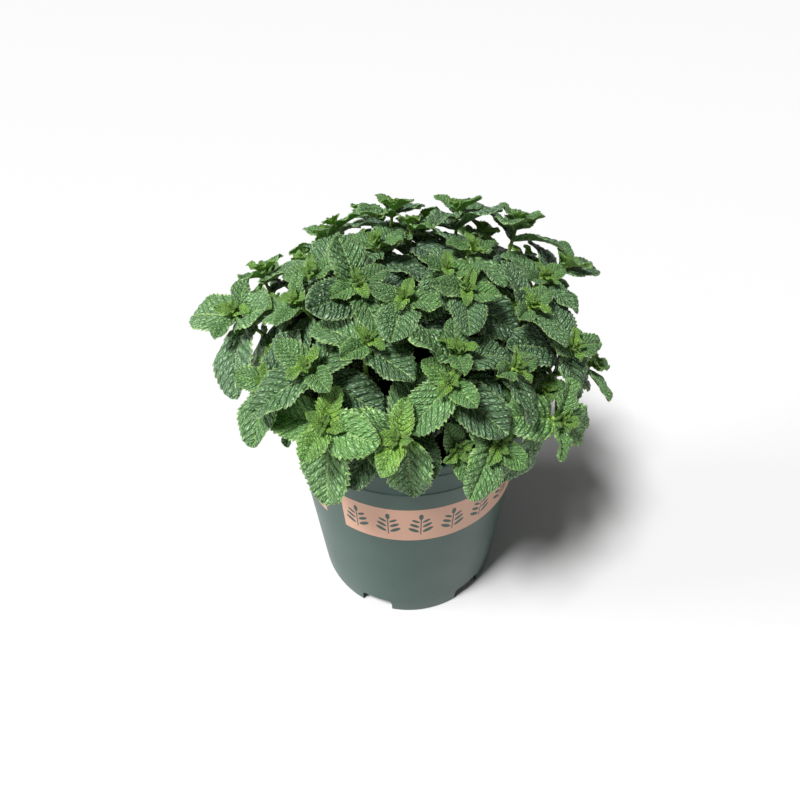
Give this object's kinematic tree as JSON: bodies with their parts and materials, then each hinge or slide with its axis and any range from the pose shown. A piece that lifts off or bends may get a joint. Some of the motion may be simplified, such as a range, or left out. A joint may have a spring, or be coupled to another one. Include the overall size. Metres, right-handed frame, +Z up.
{
  "type": "potted mint plant",
  "caption": "Bushy mint plant with toothed, puckered leaves on square stems, growing from soil in a tapered nursery pot with a ledged rim and notched feet.",
  "frame": {"origin": "on the ground, under the middle of the whole plant's box; the pot's axis stands at x = +10 mm, y = -8 mm, because the foliage spreads further to the left and the back", "axes": "+Z up along the pot's axis; -Y is the front, +X the right side"},
  "size_m": [0.265, 0.2267, 0.2817],
  "materials": {
    "pot_plastic": "satin",
    "potting_soil": "matte",
    "mint_leaf": "satin"
  },
  "bodies": {
    "root": {"pot": "pot_plastic", "soil": "potting_soil", "shoot_01": "mint_leaf", "shoot_02": "mint_leaf", "shoot_03": "mint_leaf", "shoot_04": "mint_leaf", "shoot_05": "mint_leaf", "shoot_06": "mint_leaf", "shoot_07": "mint_leaf", "shoot_08": "mint_leaf", "shoot_09": "mint_leaf", "shoot_10": "mint_leaf", "shoot_11": "mint_leaf", "shoot_12": "mint_leaf", "shoot_13": "mint_leaf", "shoot_14": "mint_leaf", "shoot_15": "mint_leaf", "shoot_16": "mint_leaf", "shoot_17": "mint_leaf", "shoot_18": "mint_leaf", "shoot_19": "mint_leaf", "shoot_20": "mint_leaf", "shoot_21": "mint_leaf", "shoot_22": "mint_leaf", "shoot_23": "mint_leaf", "shoot_24": "mint_leaf", "shoot_25": "mint_leaf", "shoot_26": "mint_leaf", "shoot_27": "mint_leaf", "shoot_28": "mint_leaf", "shoot_29": "mint_leaf", "shoot_30": "mint_leaf", "shoot_31": "mint_leaf", "shoot_32": "mint_leaf", "shoot_33": "mint_leaf", "shoot_34": "mint_leaf", "shoot_35": "mint_leaf", "shoot_36": "mint_leaf", "shoot_37": "mint_leaf", "shoot_38": "mint_leaf", "shoot_39": "mint_leaf", "shoot_40": "mint_leaf", "shoot_41": "mint_leaf", "shoot_42": "mint_leaf", "shoot_43": "mint_leaf", "shoot_44": "mint_leaf", "shoot_45": "mint_leaf", "shoot_46": "mint_leaf", "shoot_47": "mint_leaf", "shoot_48": "mint_leaf", "shoot_49": "mint_leaf", "shoot_50": "mint_leaf", "shoot_51": "mint_leaf", "shoot_52": "mint_leaf", "shoot_53": "mint_leaf", "shoot_54": "mint_leaf", "shoot_55": "mint_leaf", "shoot_56": "mint_leaf"}
  },
  "joints": []
}
